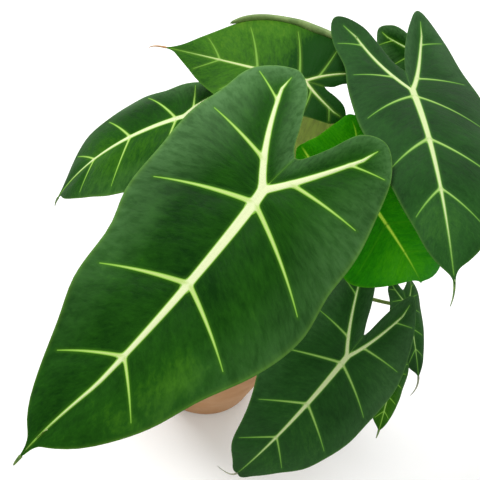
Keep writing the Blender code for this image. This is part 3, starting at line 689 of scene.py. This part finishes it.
def buildBlade(name, leaf):
    leaf["name"] = name
    small = name in smallLeaves
    rows, shares = meshRows(small)
    columns = np.array(blade["fewerColumns"] if small else blade["columns"])
    bm = bmesh.new()
    names = ("veinEdge", "mainRib", "rim", "paintedLightShade", "paintedSheen", "thick")
    layers = [bm.verts.layers.float.new(key) for key in names]
    flow = bm.loops.layers.uv.new("flow")
    length = leaf["length"]
    for half in (0, 1):
        flat, bent = halfSheet(leaf, half, rows, shares, columns)
        edge, main, nearest = veinFacts(leaf, half, flat)
        # Painted light and shade for the blade's material.
        paintedLightShade = paintedLightShadeAt(leaf, half, flat)
        # Painted grey-green sheen for the blade's material.
        paintedSheenAmount = paintedSheenAt(leaf, half, flat, columns)
        rim = np.broadcast_to(np.interp(columns, (0.965, 0.985, 1), (0, 1, 1)), edge.shape)
        calm = 1 - np.interp(columns, (0.5, 1), (0, 1))[None] ** 2
        puff = 1 - np.exp(-(nearest / (blade["puffReach"] * length)) ** 2)
        bent[..., 2] += blade["puff"] * length * puff * calm
        rib = np.clip(-edge / (1000 * blade["sideRibHalfWidth"] * length), 0, 1) ** 0.6
        thin = blade["thinShare"]
        thick = thin + (1 - thin) * rib * np.interp(columns, (0.0, blade["sideRibEnd"]), (1, 0.25))[None]
        made = bmesh.ops.create_grid(
            bm, x_segments=len(rows) - 1, y_segments=len(columns) - 1, size=0.5,
            matrix=Matrix.Translation((10.0 * half, 0, 0)),
        )
        place = {}
        for vert in made["verts"]:
            i = round((vert.co.x - 10.0 * half + 0.5) * (len(rows) - 1))
            j = round((vert.co.y + 0.5) * (len(columns) - 1))
            place[vert] = (i, j)
            for layer, values in zip(layers, (edge, main, rim, paintedLightShade, paintedSheenAmount, thick)):
                vert[layer] = float(values[i, j])
        for face in {face for vert in place for face in vert.link_faces}:
            for loop in face.loops:
                i, j = place[loop.vert]
                loop[flow].uv = (rows[i] / 16 + 2.3 * half, columns[j])
        for vert, (i, j) in place.items():
            vert.co = bent[i, j]
    bmesh.ops.remove_doubles(bm, verts=bm.verts, dist=0.00012)
    bmesh.ops.dissolve_degenerate(bm, dist=0.00002, edges=bm.edges)
    bmesh.ops.recalc_face_normals(bm, faces=bm.faces)
    if sum(face.normal.z * face.calc_area() for face in bm.faces) < 0:
        bmesh.ops.reverse_faces(bm, faces=bm.faces)
    bmesh.ops.transform(bm, matrix=leafFrame(leaf), verts=bm.verts)
    weights = [vert[layers[-1]] for vert in bm.verts]
    piece = finishPiece(f"leaf_{name}", bm, leafMaterials[leaf["green"]])
    group = piece.vertex_groups.new(name="thick")
    for index, weight in enumerate(weights):
        group.add([index], weight, "REPLACE")
    solid = piece.modifiers.new("Thickness", "SOLIDIFY")
    solid.thickness = blade["ribThickness"] * min(1.0, max(0.35, length / 0.2))
    solid.offset = -1 + 2 * blade["above"]
    solid.vertex_group = "thick"
    solid.material_offset = 1
    solid.material_offset_rim = 0
    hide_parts(f"blade_{name}")


for name, leaf in leaves.items():
    buildBlade(name, leaf)
print("blades made")


# Stalks and sheath

soilTop, soilCrown, footTop, holeDepth, gap = 0.114, 0.004, 0.1225, 0.016, 0.0003
neckRadius = 0.068
capHeight = 0.00005  # how far the closed foot of a tube bulges


def bezierAt(points, t):
    keep = 1 - t
    weights = (keep**3, 3 * keep**2 * t, 3 * keep * t**2, t**3)
    return sum((Vector(point) * weight for point, weight in zip(points, weights)), Vector())


# Closed tube through the centres. size(share, angle) gives its half width and half depth.
def tubeAlong(centres, size, sides):
    rings = len(centres)
    bm = bmesh.new()
    along = bm.verts.layers.float.new("along")
    made = bmesh.ops.create_grid(bm, x_segments=rings - 1, y_segments=sides, size=0.5)
    guide = Vector((0.0, 1.0, 0.0))
    frames = []
    for i, centre in enumerate(centres):
        ahead = (centres[min(i + 1, rings - 1)] - centres[max(i - 1, 0)]).normalized()
        across = ahead.cross(guide).normalized()
        guide = across.cross(ahead).normalized()
        frames.append((centre, across, guide.copy()))
    for vert in made["verts"]:
        i = round((vert.co.x + 0.5) * (rings - 1))
        angle = math.tau * round((vert.co.y + 0.5) * sides) / sides
        centre, across, up = frames[i]
        width, depth = size(i / (rings - 1), angle) if 0 < i < rings - 1 else (0, 0)
        vert[along] = i / (rings - 1)
        vert.co = centre + across * (width * math.cos(angle)) + up * (depth * math.sin(angle))
    bmesh.ops.remove_doubles(bm, verts=bm.verts, dist=0.00001)
    bmesh.ops.recalc_face_normals(bm, faces=bm.faces)
    return bm


# A tube that stands in its hole in the soil, then follows the path to a closed top.
def standingTube(path, rings, top, size, sides):
    foot = path[0] - Vector((0, 0, footTop - soilTop + holeDepth - gap))
    centres = [foot - Vector((0, 0, capHeight)), foot]
    centres += [bezierAt(path, i / (rings - 1)) for i in range(rings)]
    centres.append(centres[-1] + top)
    last = len(centres) - 1

    def sizeAt(share, angle):
        return size(max(round(share * last) - 2, 0) / (rings - 1), angle)

    return tubeAlong(centres, sizeAt, sides)


stalkFinish = {
    "base": (0.1, 0.15, 0.022), "light": (0.23, 0.33, 0.06), "speckle": (0.05, 0.045, 0.02),
    "sides": 24, "rings": 44, "neckGap": 0.00185, "rise": 0.45, "arrive": 0.3,
    "footWiden": 1.35, "flareHeight": 0.035, "thinning": 0.35, "groove": 0.1,
    "grooveAngle": 1.2,
}


def makeStalkMaterial():
    made, tree, shader = newMaterial("stalkSkin")
    place = objectCoords(tree)
    broad = cloudy(tree, place, 60.0, 3.0, 0.5, (1, 1, 0.25))
    flecks = cloudy(tree, place, 900.0, 4.0, 0.6, (1, 1, 0.22))
    tone = weighted(tree, (broad, 0.6), (layerValue(tree, "along"), 0.35))
    colour = ramp(tree, tone, ((0.15, stalkFinish["base"]), (0.75, stalkFinish["light"])))
    dark = spread(tree, flecks, 0.6, 0.74, 0.0, 0.55)
    paint(tree, shader, mixColours(tree, dark, colour, stalkFinish["speckle"]), 0.42, 0.4)
    bumpFrom(tree, shader, flecks, 0.15, 0.0003)
    return made


stalkMaterial = makeStalkMaterial()


def buildStalk(name, leaf):
    turn = leafFrame(leaf)
    normal = (turn.to_3x3() @ Vector((0, 0, 1))).normalized()
    end = Vector(leaf["at"]) - normal * stalkFinish["neckGap"]
    start = Vector((*leaf["foot"], footTop))
    span = (end - start).length
    rise = Vector((0, 0, span * stalkFinish["rise"]))
    path = (start, start + rise, end - normal * span * stalkFinish["arrive"], end)
    foot = leaf["stalk"] * stalkFinish["footWiden"]

    def size(t, angle):
        flare = max(0.0, 1 - t * span / stalkFinish["flareHeight"])
        radius = leaf["stalk"] * (1 - stalkFinish["thinning"] * t) + (foot - leaf["stalk"]) * flare**0.5
        facing = max(0.0, math.cos(angle - stalkFinish["grooveAngle"]))
        groove = 1 - stalkFinish["groove"] * facing**8
        return radius * groove, radius * groove

    tube = standingTube(path, stalkFinish["rings"], normal * 0.0004, size, stalkFinish["sides"])
    piece = finishPiece(f"petiole_{name}", tube, [stalkMaterial])
    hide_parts(f"stalk_{name}")


for name, leaf in leaves.items():
    buildStalk(name, leaf)


# Thin drip tips: how long, how far they hang down and turn aside, and the colour.
dripTips = {
    "front": (0.007, 0.2, 0.0, "leaf"),
    "left": (0.006, 0.6, 0.2, "leaf"),
    "back_left": (0.021, 0.1, 0.1, "tan"),
    "right": (0.012, 1.0, 0.05, "leaf"),
    "low": (0.016, -0.2, -0.9, "pale"),
    "low_right": (0.012, 0.8, -0.5, "pale"),
    "small": (0.006, 0.5, 0.0, "leaf"),
}
tipShape = {
    "sunk": 0.004, "frontWidth": 0.0015, "width": 0.001, "thinning": 0.75, "flatness": 0.7,
    "rings": 18, "sides": 10,
}
dripColours = {
    "leaf": ((0.04, 0.12, 0.008), (0.11, 0.2, 0.02)),
    "tan": ((0.42, 0.2, 0.06), (0.56, 0.32, 0.13)),
    "pale": ((0.16, 0.19, 0.11), (0.3, 0.3, 0.2)),
}
tipMaterials = {
    kind: mottled(f"dripTip_{kind}", 400.0, 3.0, ((0.35, dull), (0.65, light)), 0.6)
    for kind, (dull, light) in dripColours.items()
}


def buildTip(name, leaf):
    reach, hang, aside, kind = dripTips[name]
    rows, shares = np.array((0.0, 0.25)), np.zeros(2)
    _, bent = halfSheet(leaf, 0, rows, shares, np.array((0.0, 1.0)))
    turn = leafFrame(leaf)
    tip, before = turn @ Vector(bent[0, 1]), turn @ Vector(bent[1, 0])
    ahead = (tip - before).normalized()
    left = (turn.to_3x3() @ Vector((0, 1, 0))).normalized()
    down = Vector((0, 0, -1))
    path = (tip - ahead * tipShape["sunk"], tip + ahead * reach * 0.3,
            tip + ahead * reach * 0.5 + down * reach * hang * 0.4 + left * reach * aside * 0.3,
            tip + ahead * reach * 0.55 + down * reach * hang + left * reach * aside)
    rings = tipShape["rings"]
    centres = [bezierAt(path, i / (rings - 1)) for i in range(rings)]

    def size(share, angle):
        root = tipShape["frontWidth" if name == "front" else "width"]
        width = root * (1 - tipShape["thinning"] * share)
        return width, width * tipShape["flatness"]

    piece = finishPiece(f"tip_{name}", tubeAlong(centres, size, tipShape["sides"]), [tipMaterials[kind]])


for name in dripTips:
    buildTip(name, leaves[name])

# The back left leaf's margin curls over; its pale underside shows as a narrow band.
curl = {
    "leaf": "back_left", "half": 1, "stations": (4.3, 11.8), "halfWidth": 0.003, "depth": 0.8,
    "ripple": 0.18, "rings": 60, "sides": 14, "lift": 0.0012, "outward": 0.0012,
    "colour": (0.175, 0.265, 0.07), "shade": (0.1, 0.18, 0.035),
}


def buildCurl():
    leaf = leaves[curl["leaf"]]
    rows = np.linspace(*curl["stations"], curl["rings"])
    shares = np.interp(rows, outwardStations, outwardShares)
    _, bent = halfSheet(leaf, curl["half"], rows, shares, np.array((0.9, 1.0)))
    turn = leafFrame(leaf)
    outward = bent[:, 1] - bent[:, 0]
    outward /= np.linalg.norm(outward, axis=1)[:, None]
    places = bent[:, 1] + outward * curl["outward"]
    places[:, 2] += curl["lift"]
    centres = [turn @ Vector(place) for place in places]

    def size(share, angle):
        full = math.sin(math.pi * share) ** 0.3
        wave = 1 + curl["ripple"] * math.sin(17 * share)
        return curl["halfWidth"] * full * wave, curl["halfWidth"] * curl["depth"] * full

    made = mottled("leafCurl", 120.0, 4.0, ((0.35, curl["shade"]), (0.6, curl["colour"])), 0.6)
    piece = finishPiece("curl_back_left", tubeAlong(centres, size, curl["sides"]), [made])


buildCurl()

sheath = {
    "path": (
        (-0.004, 0.012, footTop), (-0.004, 0.012, 0.2), (0.022, 0.03, 0.27), (0.036, 0.04, 0.322),
    ),
    "widths": ((0, 0.25, 0.5, 0.75, 0.9, 1), (0.006, 0.0064, 0.01, 0.0126, 0.0124, 0.0035)),
    "flatness": 0.36, "flattening": 1.6, "ripple": 0.05, "rings": 60, "sides": 36,
    "fresh": (0.33, 0.44, 0.04), "dry": (0.1, 0.06, 0.02),
}


def makeSheathMaterial():
    made, tree, shader = newMaterial("sheathSkin")
    place = objectCoords(tree)
    streaks = cloudy(tree, place, 420.0, 4.0, 0.6, (1, 1, 0.08))
    patches = cloudy(tree, place, 70.0, 3.0)
    top = spread(tree, layerValue(tree, "along"), 0.86, 1.0, 0.0, 0.6)
    dry = spread(tree, weighted(tree, (patches, 0.8), (streaks, 0.3), (top, 1.0)), 0.84, 1.02)
    fresh = ramp(tree, streaks, ((0.3, tuple(0.6 * c for c in sheath["fresh"])), (0.7, sheath["fresh"])))
    paint(tree, shader, mixColours(tree, dry, fresh, sheath["dry"]), 0.6)
    bumpFrom(tree, shader, streaks, 0.3, 0.0004)
    return made


def buildSheath():
    path = [Vector(place) for place in sheath["path"]]

    def size(t, angle):
        width = float(np.interp(t, *sheath["widths"]))
        width *= 1 + sheath["ripple"] * math.sin(5 * angle + 9 * t) * t
        return width, width * (1 - (1 - sheath["flatness"]) * min(1.0, t * sheath["flattening"]))

    top = Vector((0.0002, 0.0001, 0.0004))
    tube = standingTube(path, sheath["rings"], top, size, sheath["sides"])
    piece = finishPiece("sheath_skin", tube, [makeSheathMaterial()])
    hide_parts("sheath")


buildSheath()
print("stalks and sheath made")


# Pot and soil

pot = {
    "baseRadius": 0.047, "rimRadius": 0.075, "neckHeight": 0.103, "height": 0.13,
    "wall": 0.0045, "floor": 0.007, "steps": 96, "holes": 3, "holeRadius": 0.0045,
    "holeRing": 0.026, "holeSides": 32, "softness": 0.0022, "clay": (0.4, 0.215, 0.1),
    "clayDark": (0.3, 0.15, 0.064), "chalk": (0.5, 0.33, 0.2),
}


# The points with each inner corner rounded.
def roundedLine(points, softness, steps=5):
    made = [Vector(points[0])]
    for before, corner, after in zip(points, points[1:], points[2:]):
        corner = Vector(corner)
        near, far = Vector(before) - corner, Vector(after) - corner
        reach = min(softness, near.length * 0.45, far.length * 0.45)
        start, end = corner + near.normalized() * reach, corner + far.normalized() * reach
        for i in range(steps + 1):
            t = i / steps
            made.append(start * (1 - t) ** 2 + corner * 2 * t * (1 - t) + end * t * t)
    made.append(Vector(points[-1]))
    return made


def spun(profile, steps):
    bm = bmesh.new()
    points = [bm.verts.new((point[0], 0.0, point[1])) for point in profile]
    edges = [bm.edges.new(pair) for pair in zip(points, points[1:])]
    bmesh.ops.spin(
        bm, geom=points + edges, cent=(0, 0, 0), axis=(0, 0, 1),
        angle=math.tau, steps=steps, use_merge=True, use_duplicate=False,
    )
    bmesh.ops.remove_doubles(bm, verts=bm.verts, dist=0.00001)
    bmesh.ops.recalc_face_normals(bm, faces=bm.faces)
    return bm


def makeClayMaterial():
    made, tree, shader = newMaterial("terracottaClay")
    place = objectCoords(tree)
    broad = cloudy(tree, place, 18.0, 4.0, 0.55)
    rings = cloudy(tree, place, 30.0, 3.0, 0.5, (0.4, 0.4, 5.0))
    grain = cloudy(tree, place, 700.0, 3.0, 0.6)
    tone = weighted(tree, (broad, 0.78), (rings, 0.22))
    colour = ramp(tree, tone, ((0.3, pot["clayDark"]), (0.5, pot["clay"]), (0.85, pot["chalk"])))
    specks = spread(tree, grain, 0.62, 0.74, 0.0, 0.35)
    paint(tree, shader, mixColours(tree, specks, colour, pot["clayDark"]), 0.88, 0.2)
    bumpFrom(tree, shader, weighted(tree, (grain, 1.0), (rings, 1.4)), 0.35, 0.0005)
    return made


# The pot's mesh with round holes through its floor.
def cutDrainHoles(bm):
    cutter = bmesh.new()
    for i in range(pot["holes"]):
        angle = math.tau * (i + 0.5) / pot["holes"]
        place = (pot["holeRing"] * math.cos(angle), pot["holeRing"] * math.sin(angle), pot["floor"] / 2)
        bmesh.ops.create_cone(
            cutter, cap_ends=True, segments=pot["holeSides"], radius1=pot["holeRadius"],
            radius2=pot["holeRadius"], depth=pot["floor"] * 2, matrix=Matrix.Translation(place),
        )
    whole = addObject("uncutPot", meshFrom("uncutPot", bm))
    rods = addObject("drainRods", meshFrom("drainRods", cutter))
    cut = whole.modifiers.new("Holes", "BOOLEAN")
    cut.operation, cut.solver, cut.object = "DIFFERENCE", "EXACT", rods
    evaluated = whole.evaluated_get(bpy.context.evaluated_depsgraph_get())
    holed = bmesh.new()
    holed.from_mesh(evaluated.to_mesh())
    evaluated.to_mesh_clear()
    for leftover in (whole, rods):
        mesh = leftover.data
        bpy.data.objects.remove(leftover)
        bpy.data.meshes.remove(mesh)
    bmesh.ops.recalc_face_normals(holed, faces=holed.faces)
    return holed


def buildPot():
    rim, wall, base, neck = pot["rimRadius"], pot["wall"], pot["baseRadius"], pot["neckHeight"]
    inner = neckRadius - wall
    slope = (neckRadius - base) / neck
    profile = roundedLine((
        (0.0, 0.0), (base, 0.0), (neckRadius, neck), (rim - 0.0012, neck + 0.003), (rim, pot["height"]),
        (rim - wall - 0.0015, pot["height"]), (inner + 0.001, neck + 0.003), (inner, neck),
        (base + slope * pot["floor"] - wall, pot["floor"]), (0.0, pot["floor"]),
    ), pot["softness"])
    piece = finishPiece("pot_clay", cutDrainHoles(spun(profile, pot["steps"])), [makeClayMaterial()])
    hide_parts("pot")


soil = {
    "earth": ((0.01, 0.006, 0.004), (0.052, 0.031, 0.018), (0.13, 0.08, 0.045)),
    "bark": ((0.052, 0.031, 0.018), (0.11, 0.062, 0.03), (0.13, 0.08, 0.045)),
    "perlite": ((0.42, 0.4, 0.35), (0.72, 0.7, 0.64), (0.8, 0.79, 0.75)),
    "lumps": 0.0012, "roughness": 0.0016, "edge": 0.004, "rings": 44, "steps": 110, "bitsTo": 0.061,
}
# Loose bits: material name, tones and grain, then how many, sizes, squash, seed, subdivisions.
soilBits = {
    "soil_crumbs": ("soilCrumb", "earth", 700.0, 420, (0.0008, 0.0024), 0.75, 11, 1),
    "bark_chips": ("barkChip", "bark", 300.0, 60, (0.0016, 0.0034), 0.4, 12, 1),
    "perlite_bits": ("perlite", "perlite", 500.0, 70, (0.0008, 0.0017), 0.8, 13, 2),
}


def soilHeight(x, y):
    mound = soilCrown * (1 - (x * x + y * y) / neckRadius**2)
    lumps = math.sin(95 * x + 1.3) * math.cos(120 * y) + 0.6 * math.sin(210 * x - 170 * y)
    return soilTop + mound + soil["lumps"] * lumps


def makeSoilMaterial(name, kind, scale):
    made, tree, shader = newMaterial(name)
    place = objectCoords(tree)
    broad = cloudy(tree, place, 60.0, 4.0)
    grain = cloudy(tree, place, scale, 5.0, 0.7)
    tone = weighted(tree, (broad, 0.4), (grain, 0.6))
    paint(tree, shader, ramp(tree, tone, tuple(zip((0.35, 0.52, 0.72), soil[kind]))), 0.95, 0.15)
    bumpFrom(tree, shader, grain, 0.6, 0.0012)
    return made


def buildSoil():
    inner = neckRadius - pot["wall"] - gap
    low = pot["floor"] + gap
    base = pot["baseRadius"] - pot["wall"]
    profile = [(0.0, low), (base, low), (inner, pot["neckHeight"])]
    profile += [(inner * i / soil["rings"], soilTop) for i in range(soil["rings"], -1, -1)]
    bm = spun(profile, soil["steps"])
    for vert in bm.verts:
        if vert.co.z > pot["neckHeight"] + 0.001:
            x, y = vert.co.x, vert.co.y
            edge = min(1.0, (inner - math.hypot(x, y)) / soil["edge"])
            rough = noise.noise(Vector((x * 190, y * 190, 0)))
            rough += 0.6 * noise.noise(Vector((x * 430, y * 430, 3)))
            vert.co.z = soilHeight(x, y) + soil["roughness"] * rough * edge
    piece = finishPiece("soil_bed", bm, [makeSoilMaterial("soilEarth", "earth", 520.0)])
    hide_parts("soil")


def scatter(name, made, count, sizes, squash, seed, subdivisions):
    random = np.random.default_rng(seed)
    bm = bmesh.new()
    for i in range(count):
        radius = soil["bitsTo"] * math.sqrt(random.uniform(0, 1))
        angle = random.uniform(0, math.tau)
        x, y = radius * math.cos(angle), radius * math.sin(angle)
        size = random.uniform(*sizes)
        lump = bmesh.ops.create_icosphere(bm, subdivisions=subdivisions, radius=size)["verts"]
        shift = Vector(random.uniform(-9, 9, 3))
        for vert in lump:
            vert.co *= 1 + 0.45 * noise.noise(vert.co * (1.1 / size) + shift)
        stretch = Matrix.Diagonal((random.uniform(0.8, 1.5), random.uniform(0.7, 1.1), squash, 1))
        turn = Matrix.Rotation(random.uniform(0, math.tau), 4, "Z")
        turn = turn @ Matrix.Rotation(random.uniform(-0.6, 0.6), 4, "X")
        place = Matrix.Translation((x, y, soilHeight(x, y) + size * squash * 0.45))
        bmesh.ops.transform(bm, matrix=place @ turn @ stretch, verts=lump)
    piece = finishPiece(name, bm, [made], smooth=False)


buildPot()
buildSoil()
for name, (skin, kind, grain, *facts) in soilBits.items():
    scatter(name, makeSoilMaterial(skin, kind, grain), *facts)
print("pot and soil made")


# Studio and camera

def makeFloor():
    low = tuple(0.99 * c for c in studio["floorColour"])
    made = mottled("studioFloor", 2.0, 2.0, ((0.3, low), (0.7, studio["floorColour"])), 0.95, 0.0)
    bm = bmesh.new()
    bmesh.ops.create_grid(bm, x_segments=4, y_segments=4, size=studio["floorSize"])
    floor = addObject("studio_floor", meshFrom("studio_floor", bm))
    floor.data.materials.append(made)
    floor.location.z = studio["floorDrop"]


def makeLamp(kind):
    data = bpy.data.lights.new(f"{kind}_light", "AREA")
    data.shape = "DISK"
    data.size = studio[f"{kind}Size"]
    data.energy = studio[f"{kind}Power"]
    lamp = addObject(data.name, data)
    lamp.location = studio[f"{kind}Place"]
    aim = Vector(studio["lampAim"]) - lamp.location
    lamp.rotation_euler = aim.to_track_quat("-Z", "Y").to_euler()


def makeCamera():
    e, r = math.radians(cameraLook["elevation"]), math.radians(cameraLook["roll"])
    ahead = Vector((0, math.cos(e), -math.sin(e)))
    flatRight, flatUp = Vector((1, 0, 0)), Vector((0, math.sin(e), math.cos(e)))
    right = flatRight * math.cos(r) + flatUp * math.sin(r)
    up = flatUp * math.cos(r) - flatRight * math.sin(r)
    place = ahead * cameraLook["potDistance"] + right * cameraLook["potAside"]
    place = -(place - up * cameraLook["potBelow"])
    data = bpy.data.cameras.new("photo_camera")
    data.sensor_fit = "HORIZONTAL"
    data.sensor_width = cameraLook["sensor"]
    data.lens = cameraLook["lens"]
    data.clip_start, data.clip_end = 0.01, 50.0
    camera = addObject("photo_camera", data)
    camera.matrix_world = Matrix.Translation(place) @ Matrix((right, up, -ahead)).transposed().to_4x4()
    bpy.context.scene.camera = camera


makeFloor()
for kind in ("key", "fill", "back"):
    makeLamp(kind)
world = bpy.data.worlds.new("studio_world")
world.use_nodes = True
light = world.node_tree.nodes["Background"].inputs
light["Color"].default_value = (*studio["worldColour"], 1.0)
light["Strength"].default_value = studio["worldStrength"]
bpy.context.scene.world = world
bpy.context.scene.view_settings.view_transform = "Standard"
makeCamera()

print("studio made")
